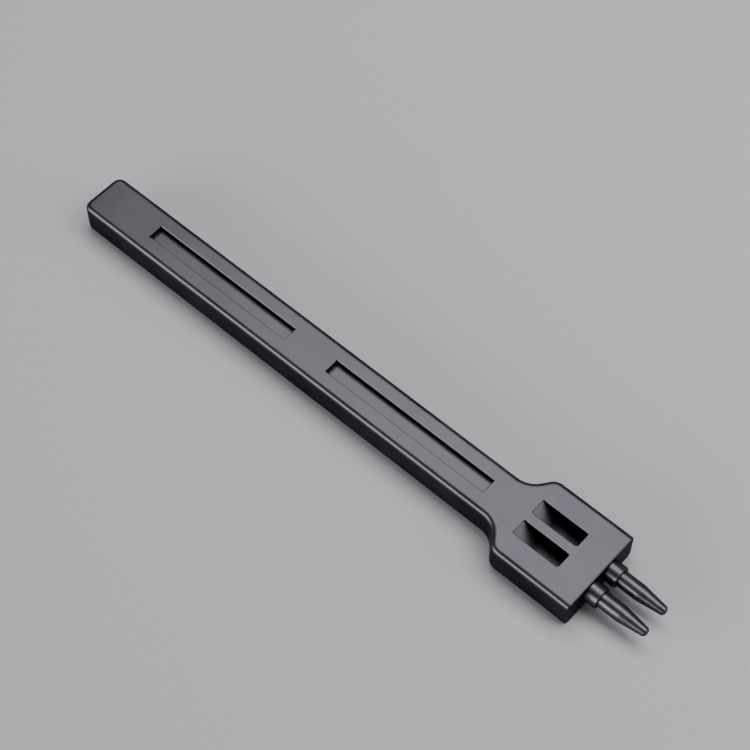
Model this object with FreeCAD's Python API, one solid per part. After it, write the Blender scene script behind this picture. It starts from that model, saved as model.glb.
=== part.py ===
import FreeCAD, Part
import math
import os
from FreeCAD import Vector

# A two-tine hole punch for leather, in mm.
# +X runs along the tool towards its tips and +Z is up from the surface it lies on.
# The origin is the middle of the tool's footprint, on that surface.

# Body, in plan.
BODY_LENGTH = 140.5
HANDLE_WIDTH = 11.35
HEAD_WIDTH = 21.15
HEAD_LENGTH = 18.0
THICKNESS = 7.9
SHOULDER_ANGLE = 54.0
# Radius of each arc of the shoulder, as a share of how far the shoulder steps out.
NECK_ARC_SHARE = 1.09
SHOULDER_ARC_SHARE = 0.62

# Edges and corners of the body.
EDGE_ROUNDING = 1.25
BUTT_CORNER_RADIUS = 2.0
FACE_EDGE_BREAK = 0.2
RIM_EDGE_BREAK = 0.15

# The two shallow recesses along the top of the handle.
BUTT_MARGIN = 17.0
FRONT_MARGIN = 28.7
RECESS_GAP = 11.7
REAR_RECESS_SHARE = 0.484
RECESS_WIDTH = 3.6
RECESS_DEPTH = 1.5
RECESS_CORNER_RADIUS = 0.3

# The two windows that the cut slugs leave by.
WINDOW_LENGTH = 11.4
WINDOW_WIDTH = 3.84
WINDOW_CORNER_RADIUS = 0.6
FRONT_WALL = 7.1
UPRIGHT_ABOVE_RAMP = 0.3
RAMP_SLOPE = 42.0
RAMP_FOOT_RADIUS = 5.0
# How far the level floor at the foot of the ramp is below the hole that the slugs come out of.
FLOOR_BELOW_HOLE = 0.4

# Screwed joint between a tip and the head.
TIP_SPACING = 6.0
# How far the tips sit above the middle of the thickness.
TIP_RISE = 0.6
THREAD_DIAMETER = 3.0
THREAD_PITCH = 0.5
THREAD_DEPTH = 0.27
# Half the width of the thread's groove, at its mouth and at its root, as shares of the pitch.
GROOVE_MOUTH_SHARE = 0.42
GROOVE_ROOT_SHARE = 0.0625
THREAD_CLEARANCE = 0.05
HOLE_CHAMFER = 0.2
SEAT_GAP = 0.02
STUB_SETBACK = 0.7
UNDERCUT_LENGTH = 0.8

# A tip, from the head outwards.
COLLAR_DIAMETER = 4.9
COLLAR_LENGTH = 2.9
COLLAR_EDGE_BREAK = 0.12
ROOT_GROOVE_LENGTH = 0.25
ROOT_GROOVE_DEPTH = 0.12
SHANK_DIAMETER = 3.64
SHANK_LENGTH = 4.8
CONE_LENGTH = 5.8
BEVEL_LENGTH = 0.4
CUT_DIAMETER = 1.2
CUT_DEPTH = 3.5
END_WALL = 0.45
LIP_WIDTH = 0.06
STUB_WALL = 0.38
BORE_STEP_LENGTH = 0.3

# Sizes that follow from those above.
TIP_AXIS_HEIGHT = THICKNESS / 2 + TIP_RISE
STUB_LENGTH = FRONT_WALL - STUB_SETBACK
HOLE_RADIUS = THREAD_DIAMETER / 2 + THREAD_CLEARANCE
WINDOW_FLOOR_HEIGHT = TIP_AXIS_HEIGHT - HOLE_RADIUS - FLOOR_BELOW_HOLE
ROOT_RADIUS = THREAD_DIAMETER / 2 - THREAD_DEPTH
RELIEF_RADIUS = ROOT_RADIUS - STUB_WALL
END_RADIUS = CUT_DIAMETER / 2 + END_WALL
TIP_REACH = COLLAR_LENGTH + SHANK_LENGTH + CONE_LENGTH + BEVEL_LENGTH
FACE_X = (BODY_LENGTH - SEAT_GAP - TIP_REACH) / 2

# How far a cutting shape runs past the surface it cuts.
PAST = 1.0
# Places closer together than this are taken as the same.
CLOSE = 1e-6


def arc_between(centre, radius, first_angle, last_angle):
    """An arc in the XY plane, between two directions given in degrees."""
    points = []
    for angle in (first_angle, (first_angle + last_angle) / 2, last_angle):
        turn = math.radians(angle)
        points.append(centre + Vector(radius * math.cos(turn), radius * math.sin(turn), 0))
    return Part.Arc(*points).toShape()


def end_of(edge):
    return edge.valueAt(edge.LastParameter)


def start_of(edge):
    return edge.valueAt(edge.FirstParameter)


def left_outline():
    """The +Y half of the body's plan, from the butt end to the head's front face at x = 0."""
    handle_side = HANDLE_WIDTH / 2
    head_side = HEAD_WIDTH / 2
    step = head_side - handle_side
    neck_radius = NECK_ARC_SHARE * step
    shoulder_radius = SHOULDER_ARC_SHARE * step
    slope = math.radians(SHOULDER_ANGLE)
    arcs_rise = (neck_radius + shoulder_radius) * (1 - math.cos(slope))
    arcs_run = (neck_radius + shoulder_radius) * math.sin(slope)
    straight_run = (step - arcs_rise) / math.tan(slope)
    neck_x = -HEAD_LENGTH - arcs_run - straight_run

    corner_centre = Vector(-BODY_LENGTH + BUTT_CORNER_RADIUS, handle_side - BUTT_CORNER_RADIUS, 0)
    butt_corner = arc_between(corner_centre, BUTT_CORNER_RADIUS, 180, 90)
    neck_centre = Vector(neck_x, handle_side + neck_radius, 0)
    neck = arc_between(neck_centre, neck_radius, -90, SHOULDER_ANGLE - 90)
    shoulder_centre = Vector(-HEAD_LENGTH, head_side - shoulder_radius, 0)
    shoulder = arc_between(shoulder_centre, shoulder_radius, SHOULDER_ANGLE + 90, 90)
    return [
        Part.makeLine(Vector(-BODY_LENGTH, 0, 0), start_of(butt_corner)),
        butt_corner,
        Part.makeLine(end_of(butt_corner), start_of(neck)),
        neck,
        Part.makeLine(end_of(neck), start_of(shoulder)),
        shoulder,
        Part.makeLine(end_of(shoulder), Vector(0, head_side, 0)),
        Part.makeLine(Vector(0, head_side, 0), Vector(0, 0, 0)),
    ]


def body_blank():
    """The solid bar, with its long edges rounded and the edges of its front face just broken."""
    left = left_outline()
    right = [edge.mirror(Vector(0, 0, 0), Vector(0, 1, 0)) for edge in left]
    outline = Part.Wire(Part.__sortEdges__(left + right))
    bar = Part.Face(outline).extrude(Vector(0, 0, THICKNESS)).removeSplitter()
    rounded = [edge for edge in bar.Edges if is_level(edge) and not on_front_face(edge)]
    bar = bar.makeFillet(EDGE_ROUNDING, rounded)
    front = [edge for edge in bar.Edges if on_front_face(edge)]
    return bar.makeChamfer(FACE_EDGE_BREAK, front)


def is_level(edge):
    box = edge.BoundBox
    return box.ZLength < CLOSE


def on_front_face(edge):
    box = edge.BoundBox
    return box.XLength < CLOSE and abs(box.XMax) < CLOSE


def rounded_block(length, width, height, corner_radius):
    """A block from the origin along +X and up, centred on Y, with its four upright edges rounded."""
    block = Part.makeBox(length, width, height, Vector(0, -width / 2, 0))
    upright = [edge for edge in block.Edges if edge.BoundBox.ZLength > height / 2]
    return block.makeFillet(corner_radius, upright)


def grip_recesses():
    """What is milled away for the two recesses on top of the handle."""
    room = BODY_LENGTH - BUTT_MARGIN - RECESS_GAP - FRONT_MARGIN
    rear_length = room * REAR_RECESS_SHARE
    front_length = room - rear_length
    rear_x = -BODY_LENGTH + BUTT_MARGIN
    front_x = -FRONT_MARGIN - front_length
    cuts = []
    for start_x, length in ((rear_x, rear_length), (front_x, front_length)):
        cut = rounded_block(length, RECESS_WIDTH, RECESS_DEPTH + PAST, RECESS_CORNER_RADIUS)
        cut.translate(Vector(start_x, 0, THICKNESS - RECESS_DEPTH))
        cuts.append(cut)
    return cuts


def slug_window():
    """What is milled away for one window: a ramp runs down from its rear end to a level floor."""
    top = THICKNESS + PAST
    rear_x = -FRONT_WALL - WINDOW_LENGTH
    side = -WINDOW_WIDTH / 2 - PAST
    slope = math.radians(RAMP_SLOPE)
    ramp_top = THICKNESS - UPRIGHT_ABOVE_RAMP
    foot_x = rear_x + (ramp_top - WINDOW_FLOOR_HEIGHT) / math.tan(slope)
    foot_run = RAMP_FOOT_RADIUS * math.tan(slope / 2)
    foot_centre = Vector(foot_x + foot_run, side, WINDOW_FLOOR_HEIGHT + RAMP_FOOT_RADIUS)
    rear_top = Vector(rear_x, side, top)
    ramp_start = Vector(rear_x, side, ramp_top)
    foot_start = foot_centre - Vector(math.sin(slope), 0, math.cos(slope)) * RAMP_FOOT_RADIUS
    foot_middle = foot_centre - Vector(math.sin(slope / 2), 0, math.cos(slope / 2)) * RAMP_FOOT_RADIUS
    foot_end = foot_centre - Vector(0, 0, RAMP_FOOT_RADIUS)
    front_bottom = Vector(-FRONT_WALL, side, WINDOW_FLOOR_HEIGHT)
    front_top = Vector(-FRONT_WALL, side, top)
    profile = Part.Wire([
        Part.makeLine(rear_top, ramp_start),
        Part.makeLine(ramp_start, foot_start),
        Part.Arc(foot_start, foot_middle, foot_end).toShape(),
        Part.makeLine(foot_end, front_bottom),
        Part.makeLine(front_bottom, front_top),
        Part.makeLine(front_top, rear_top),
    ])
    scoop = Part.Face(profile).extrude(Vector(0, WINDOW_WIDTH + 2 * PAST, 0))
    mouth = rounded_block(WINDOW_LENGTH, WINDOW_WIDTH, top, WINDOW_CORNER_RADIUS)
    mouth.translate(Vector(rear_x, 0, 0))
    return scoop.common(mouth)


def tip_hole():
    """What is drilled away for one tip: a hole through the front wall with a chamfered mouth."""
    forward = Vector(1, 0, 0)
    hole_start = Vector(-FRONT_WALL - PAST, 0, 0)
    hole = Part.makeCylinder(HOLE_RADIUS, FRONT_WALL + 2 * PAST, hole_start, forward)
    mouth_start = Vector(-HOLE_CHAMFER, 0, 0)
    mouth = Part.makeCone(HOLE_RADIUS, HOLE_RADIUS + HOLE_CHAMFER, HOLE_CHAMFER, mouth_start, forward)
    return hole.fuse(mouth)


def punch_body():
    cuts = grip_recesses()
    for side in (-1, 1):
        window = slug_window()
        window.translate(Vector(0, side * TIP_SPACING / 2, 0))
        hole = tip_hole()
        hole.translate(Vector(0, side * TIP_SPACING / 2, TIP_AXIS_HEIGHT))
        cuts += [window, hole]
    body = body_blank().cut(cuts)
    return body.makeChamfer(RIM_EDGE_BREAK, top_rims(body))


def top_rims(body):
    """The edges round each recess and window where they open in the top face."""
    level = [face for face in body.Faces if face.BoundBox.ZMin > THICKNESS - CLOSE]
    top = max(level, key=lambda face: face.Area)
    return [edge for wire in top.Wires if not wire.isSame(top.OuterWire) for edge in wire.Edges]


def turned(profile):
    """A solid turned about Z from (radius, height) corners."""
    corners = [Vector(radius, 0, height) for radius, height in profile]
    face = Part.Face(Part.makePolygon(corners + corners[:1]))
    return face.revolve(Vector(0, 0, 0), Vector(0, 0, 1), 360)


def thread_groove():
    """The helical groove of the stub's thread, from beyond its free end up to the undercut."""
    start = -STUB_LENGTH - THREAD_PITCH
    height = -UNDERCUT_LENGTH / 2 - start
    crest = THREAD_DIAMETER / 2
    outside = crest + THREAD_DEPTH / 4
    half_mouth = THREAD_PITCH * GROOVE_MOUTH_SHARE
    half_root = THREAD_PITCH * GROOVE_ROOT_SHARE
    path = Part.makeHelix(THREAD_PITCH, height, crest)
    path.translate(Vector(0, 0, start))
    corners = [
        Vector(ROOT_RADIUS, 0, start - half_root),
        Vector(outside, 0, start - half_mouth),
        Vector(outside, 0, start + half_mouth),
        Vector(ROOT_RADIUS, 0, start + half_root),
    ]
    profile = Part.makePolygon(corners + corners[:1])
    return Part.Wire(path).makePipeShell([profile], True, True)


def tip():
    """One hollow tip, turned about Z with the seat of its collar at z = 0 and its edge upwards."""
    collar = COLLAR_DIAMETER / 2
    shank = SHANK_DIAMETER / 2
    crest = THREAD_DIAMETER / 2
    shank_start = COLLAR_LENGTH
    cone_start = shank_start + SHANK_LENGTH
    bevel_start = cone_start + CONE_LENGTH
    outside = turned([
        (0, -STUB_LENGTH),
        (ROOT_RADIUS, -STUB_LENGTH),
        (crest, -STUB_LENGTH + THREAD_DEPTH),
        (crest, -UNDERCUT_LENGTH),
        (ROOT_RADIUS, -UNDERCUT_LENGTH + THREAD_DEPTH),
        (ROOT_RADIUS, 0),
        (collar - COLLAR_EDGE_BREAK, 0),
        (collar, COLLAR_EDGE_BREAK),
        (collar, shank_start - COLLAR_EDGE_BREAK),
        (collar - COLLAR_EDGE_BREAK, shank_start),
        (shank - ROOT_GROOVE_DEPTH, shank_start),
        (shank - ROOT_GROOVE_DEPTH, shank_start + ROOT_GROOVE_LENGTH),
        (shank, shank_start + ROOT_GROOVE_LENGTH),
        (shank, cone_start),
        (END_RADIUS, bevel_start),
        (CUT_DIAMETER / 2 + LIP_WIDTH, TIP_REACH),
        (0, TIP_REACH),
    ])
    cut_end = TIP_REACH - CUT_DEPTH
    bore = turned([
        (0, -STUB_LENGTH - PAST),
        (RELIEF_RADIUS, -STUB_LENGTH - PAST),
        (RELIEF_RADIUS, cut_end - BORE_STEP_LENGTH),
        (CUT_DIAMETER / 2, cut_end),
        (CUT_DIAMETER / 2, TIP_REACH + PAST),
        (0, TIP_REACH + PAST),
    ])
    return outside.cut([thread_groove(), bore])


def seated_tip(side):
    """A tip lying along +X, seated on the head's front face."""
    shape = tip()
    shape.rotate(Vector(0, 0, 0), Vector(0, 1, 0), 90)
    shape.translate(Vector(SEAT_GAP, side * TIP_SPACING / 2, TIP_AXIS_HEIGHT))
    return shape


pieces = {
    "punch_body": punch_body(),
    "punch_tip_left": seated_tip(1),
    "punch_tip_right": seated_tip(-1),
}

os.makedirs("parts", exist_ok=True)
for name, shape in pieces.items():
    shape.translate(Vector(FACE_X, 0, 0))
    print(name, "valid", shape.isValid(), "solids", len(shape.Solids), "volume", round(shape.Volume, 1))
    shape.exportStep("parts/" + name + ".step")
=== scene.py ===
# %% [markdown]
# # A two-tine hole punch
# This tool makes two round holes at a time in leather. It has three pieces: a flat steel bar
# that is both handle and head, and two hollow steel tips that screw into the head.
# The bar and the tips come from the CAD model, already at their real size, so this lesson is
# about giving them their surfaces, and about lighting black steel so that its shape can be read.

# %% Load the measured parts
import math

import bpy
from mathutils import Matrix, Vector


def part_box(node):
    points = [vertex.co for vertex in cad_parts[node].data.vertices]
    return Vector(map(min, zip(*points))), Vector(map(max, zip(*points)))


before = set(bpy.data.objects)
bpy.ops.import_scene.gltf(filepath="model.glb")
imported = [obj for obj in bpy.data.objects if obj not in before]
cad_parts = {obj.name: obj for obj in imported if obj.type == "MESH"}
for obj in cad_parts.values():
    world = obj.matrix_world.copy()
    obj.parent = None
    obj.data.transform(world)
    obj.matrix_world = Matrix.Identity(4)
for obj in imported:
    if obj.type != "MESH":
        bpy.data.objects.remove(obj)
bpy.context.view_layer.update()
print("pieces:", sorted(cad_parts))

# %% [markdown]
# ## Landmarks
# The camera stands off from the front face of the head, and the lower soft boxes are aimed at the
# middle of the tool. Both places come from the bar's box, so they follow the tool if it changes.

# %% Landmarks on the tool
MM = 0.001
bar_low, bar_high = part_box("punch_body")
front_face_x = bar_high.x
top_z = bar_high.z
print("front face at x =", round(front_face_x / MM, 2), "mm, top at z =", round(top_z / MM, 2), "mm")

# %% [markdown]
# ## A few tools for making materials
# A material is a small network of nodes. One function adds a node, sets it up and wires its
# inputs, so that each material below reads as a list of what it is made of.
# Colours are written the way a paint chart or a picture editor gives them, and one function
# turns them into the linear values that light is worked out in.

# %% Helpers for materials
def linear(hex_colour):
    """An sRGB colour such as "#808080" as linear red, green, blue and alpha."""
    channels = []
    for start in (1, 3, 5):
        value = int(hex_colour[start:start + 2], 16) / 255
        channels.append(value / 12.92 if value <= 0.04045 else ((value + 0.055) / 1.055) ** 2.4)
    return (*channels, 1.0)


def add_node(owner, kind, settings=None, inputs=None):
    """Adds one node to a material or to the room, which is the owner of the network.

    An input is given by its name or number, as a value or as another node's output.
    """
    node = owner.node_tree.nodes.new(kind)
    for name, value in (settings or {}).items():
        setattr(node, name, value)
    for name, value in (inputs or {}).items():
        if isinstance(value, bpy.types.NodeSocket):
            owner.node_tree.links.new(value, node.inputs[name])
        else:
            node.inputs[name].default_value = value
    return node


def new_material(name):
    """An empty material, and the coordinates in metres that its patterns are laid out in."""
    material = bpy.data.materials.new(name)
    material.use_nodes = True
    material.node_tree.nodes.clear()
    place = add_node(material, "ShaderNodeTexCoord").outputs["Object"]
    return material, place


def finish_material(material, surface):
    add_node(material, "ShaderNodeOutputMaterial", inputs={"Surface": surface.outputs[0]})
    print("made", material.name, "with", len(material.node_tree.nodes), "nodes")
    return material


print("mid grey in linear light:", [round(channel, 3) for channel in linear("#808080")[:3]])

# %% [markdown]
# ## Blasted black-oxide steel, for the bar
# The bar is steel that was milled, blasted with fine grit and then blackened in a hot salt bath.
# The black layer is magnetite, a micron thick: it darkens the steel without hiding that it is
# metal. Blasting leaves pits about a twentieth of a millimetre across, and they are what
# makes the gloss broad and soft instead of mirror-like.
# The colour could come from a dark plastic-like shader, but that would shine white at the edges
# and look painted. A dark metal keeps its grey gleam, so that is used here. Seen at a shallow
# angle the pits shade each other, so the tint at the edge is grey, where clean metal has white.

# %% Blasted black-oxide steel
def blasted_black_oxide():
    material, place = new_material("black_oxide_blasted_steel")
    # The pits of the grit. The real ones are about 0.05 mm apart, too fine to show, so they are
    # drawn 0.16 mm apart.
    pit_spacing = 0.16 * MM
    pits = add_node(material, "ShaderNodeTexNoise", inputs={
        "Vector": place, "Scale": 1 / pit_spacing, "Detail": 2.0, "Roughness": 0.6})
    # The salt bath takes unevenly over patches of a centimetre or so.
    patch_width = 9 * MM
    patches = add_node(material, "ShaderNodeTexNoise", inputs={
        "Vector": place, "Scale": 1 / patch_width, "Detail": 3.0, "Roughness": 0.55})
    colour = add_node(material, "ShaderNodeValToRGB", inputs={"Fac": patches.outputs["Fac"]})
    colour.color_ramp.elements[0].position = 0.3
    colour.color_ramp.elements[0].color = linear("#3c3a3f")
    colour.color_ramp.elements[1].position = 0.7
    colour.color_ramp.elements[1].color = linear("#454348")
    gloss = add_node(material, "ShaderNodeMapRange", inputs={
        "Value": patches.outputs["Fac"], "From Min": 0.3, "From Max": 0.7, "To Min": 0.33, "To Max": 0.39})
    relief = add_node(material, "ShaderNodeBump", inputs={
        "Height": pits.outputs["Fac"], "Strength": 0.25, "Distance": 0.012 * MM})
    surface = add_node(material, "ShaderNodeBsdfPrincipled", inputs={
        "Base Color": colour.outputs["Color"], "Metallic": 1.0, "Roughness": gloss.outputs["Result"],
        "Specular Tint": linear("#a8a8aa"), "Normal": relief.outputs["Normal"]})
    return finish_material(material, surface)


# %% [markdown]
# ## Turned black-oxide steel, for the tips
# The tips are turned on a lathe from hardened steel and blackened in the same bath, with no
# blasting. The tool leaves rings about a twentieth of a millimetre apart round each tip. They
# break up the gloss a little, and the round shape draws it out into soft bands along the tip.

# %% Turned black-oxide steel
def turned_black_oxide(name):
    material, place = new_material(name)
    along = add_node(material, "ShaderNodeSeparateXYZ", inputs={"Vector": place})
    # Feed marks. The real ones are 0.05 mm apart, and they are drawn 0.12 mm apart to be seen.
    feed = 0.12 * MM
    turns = add_node(material, "ShaderNodeMath", {"operation": "MULTIPLY"}, {
        0: along.outputs["X"], 1: 2 * math.pi / feed})
    ridges = add_node(material, "ShaderNodeMath", {"operation": "SINE"}, {0: turns.outputs["Value"]})
    # Handling and oil leave the black a little uneven over a millimetre or two.
    stain_width = 1.5 * MM
    stain = add_node(material, "ShaderNodeTexNoise", inputs={
        "Vector": place, "Scale": 1 / stain_width, "Detail": 3.0, "Roughness": 0.6})
    colour = add_node(material, "ShaderNodeValToRGB", inputs={"Fac": stain.outputs["Fac"]})
    colour.color_ramp.elements[0].position = 0.35
    colour.color_ramp.elements[0].color = linear("#424145")
    colour.color_ramp.elements[1].position = 0.65
    colour.color_ramp.elements[1].color = linear("#4e4d51")
    relief = add_node(material, "ShaderNodeBump", inputs={
        "Height": ridges.outputs["Value"], "Strength": 0.15, "Distance": 0.004 * MM})
    surface = add_node(material, "ShaderNodeBsdfPrincipled", inputs={
        "Base Color": colour.outputs["Color"], "Metallic": 1.0, "Roughness": 0.36,
        "Specular Tint": linear("#a8a8aa"), "Normal": relief.outputs["Normal"]})
    return finish_material(material, surface)


# %% [markdown]
# ## Put the finishes on
# A part from the CAD model keeps its shape and place, and only its material slots are filled.

# %% Finish each part
def coat(node_name, material):
    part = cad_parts[node_name]
    for slot in part.material_slots:
        slot.material = material
    print(node_name, "has", material.name)


coat("punch_body", blasted_black_oxide())
coat("punch_tip_left", turned_black_oxide("black_oxide_turned_steel_left"))
coat("punch_tip_right", turned_black_oxide("black_oxide_turned_steel_right"))

# %% [markdown]
# ## The table it lies on
# A plain pale table top of matt laminate, six metres square so that its edges stay out of the
# picture. One flat face is enough, and a fine speckle keeps it from looking like paint.

# %% Table
def pale_table():
    mesh = bpy.data.meshes.new("pale_table")
    half_side = 3.0
    corners = [(-half_side, -half_side, 0), (half_side, -half_side, 0),
               (half_side, half_side, 0), (-half_side, half_side, 0)]
    mesh.from_pydata(corners, [], [(0, 1, 2, 3)])
    table = bpy.data.objects.new("pale_table", mesh)
    bpy.context.scene.collection.objects.link(table)
    material, place = new_material("matt_pale_laminate")
    speckle_width = 0.5 * MM
    speckle = add_node(material, "ShaderNodeTexNoise", inputs={
        "Vector": place, "Scale": 1 / speckle_width, "Detail": 2.0})
    colour = add_node(material, "ShaderNodeValToRGB", inputs={"Fac": speckle.outputs["Fac"]})
    colour.color_ramp.elements[0].color = linear("#8f8d91")
    colour.color_ramp.elements[1].color = linear("#979599")
    surface = add_node(material, "ShaderNodeBsdfPrincipled", inputs={
        "Base Color": colour.outputs["Color"], "Roughness": 0.75})
    mesh.materials.append(finish_material(material, surface))


pale_table()

# %% [markdown]
# ## Light
# Black steel shows almost nothing but reflections, so each light is placed for the faces of the
# tool that mirror it. Three soft boxes do that:
# - the widest hangs above and a little behind, and the flat top mirrors it as an even grey. It
#   ends above the butt, so the top darkens towards that end.
# - a low one in front gives the thin bright line along the rounded near edge, and the lower
#   bright band on each tip. The gap between these two boxes is the dark line beside the bright one.
# - a small one beyond the tips lights the ramps in the slug windows and the broken front edge.
# One large dome would be simpler, but it would fill the gaps, and the edges would stop reading.

# %% Soft boxes
def soft_box(name, centre, facing, width, height, power):
    """A rectangle of light. Its place and size are in metres, and its power is in watts."""
    light = bpy.data.lights.new(name, "AREA")
    light.shape = "RECTANGLE"
    light.size = width
    light.size_y = height
    light.energy = power
    box = bpy.data.objects.new(name, light)
    box.location = centre
    box.rotation_euler = (facing - centre).to_track_quat("-Z", "Y").to_euler()
    bpy.context.scene.collection.objects.link(box)
    print(name, "at", [round(value, 2) for value in centre])


tool_middle = Vector((0, 0, top_z / 2))
overhead = Vector((0.12, 0.215, 0.60))
straight_below = Vector((overhead.x, overhead.y, 0))
soft_box("overhead_box", overhead, straight_below, width=1.06, height=0.42, power=8.5)
soft_box("front_box", Vector((-0.32, -0.80, 0.22)), tool_middle, width=0.85, height=0.38, power=11.6)
soft_box("end_box", Vector((0.76, 0.34, 0.37)), tool_middle, width=0.40, height=0.40, power=2.6)

# %% [markdown]
# ## The room
# Past the soft boxes the room is dim, with a paler glow round its foot where the walls catch the
# light. The glow is what a face mirrors when it is seen at a shallow angle, so it keeps a little
# tone in the black steel from low down. It is set by height alone, so it is the same all round.

# %% Dim room with a paler horizon
def dim_room():
    world = bpy.data.worlds.new("dim_room")
    world.use_nodes = True
    background = world.node_tree.nodes["Background"]
    background.inputs["Color"].default_value = linear("#8a8a8e")
    direction = add_node(world, "ShaderNodeTexCoord").outputs["Generated"]
    height = add_node(world, "ShaderNodeSeparateXYZ", inputs={"Vector": direction})
    # Z is the sine of the angle above the horizon, so the glow fades between about 6 and 24 degrees.
    glow_top = 0.1
    dim_bottom = 0.4
    glow = add_node(world, "ShaderNodeMapRange", {"interpolation_type": "SMOOTHSTEP"}, {
        "Value": height.outputs["Z"], "From Min": glow_top, "From Max": dim_bottom,
        "To Min": 2.4, "To Max": 0.5})
    world.node_tree.links.new(glow.outputs["Result"], background.inputs["Strength"])
    bpy.context.scene.world = world
    print("room glow:", len(world.node_tree.nodes), "nodes")


dim_room()

# %% [markdown]
# ## Camera
# A long lens from above and to the near right of the tips, as for a catalogue picture. It looks
# down at 58 degrees, and the tool runs from the upper left to the lower right.

# %% Camera
def catalogue_camera():
    lens = bpy.data.cameras.new("catalogue_camera")
    lens.lens = 92.86
    lens.sensor_width = 36.0
    lens.clip_start = 0.01
    camera = bpy.data.objects.new("catalogue_camera", lens)
    bpy.context.scene.collection.objects.link(camera)
    beyond_front_face = Vector((78.55 * MM, -154.26 * MM, 348.35 * MM))
    camera.location = Vector((front_face_x, 0, 0)) + beyond_front_face
    sideways = math.radians(-41.786)
    down = math.radians(58.006)
    level = math.cos(down)
    looking = Vector((math.sin(sideways) * level, math.cos(sideways) * level, -math.sin(down)))
    camera.rotation_euler = looking.to_track_quat("-Z", "Y").to_euler()
    bpy.context.scene.camera = camera
    print("camera at", [round(value / MM) for value in camera.location], "mm")


catalogue_camera()
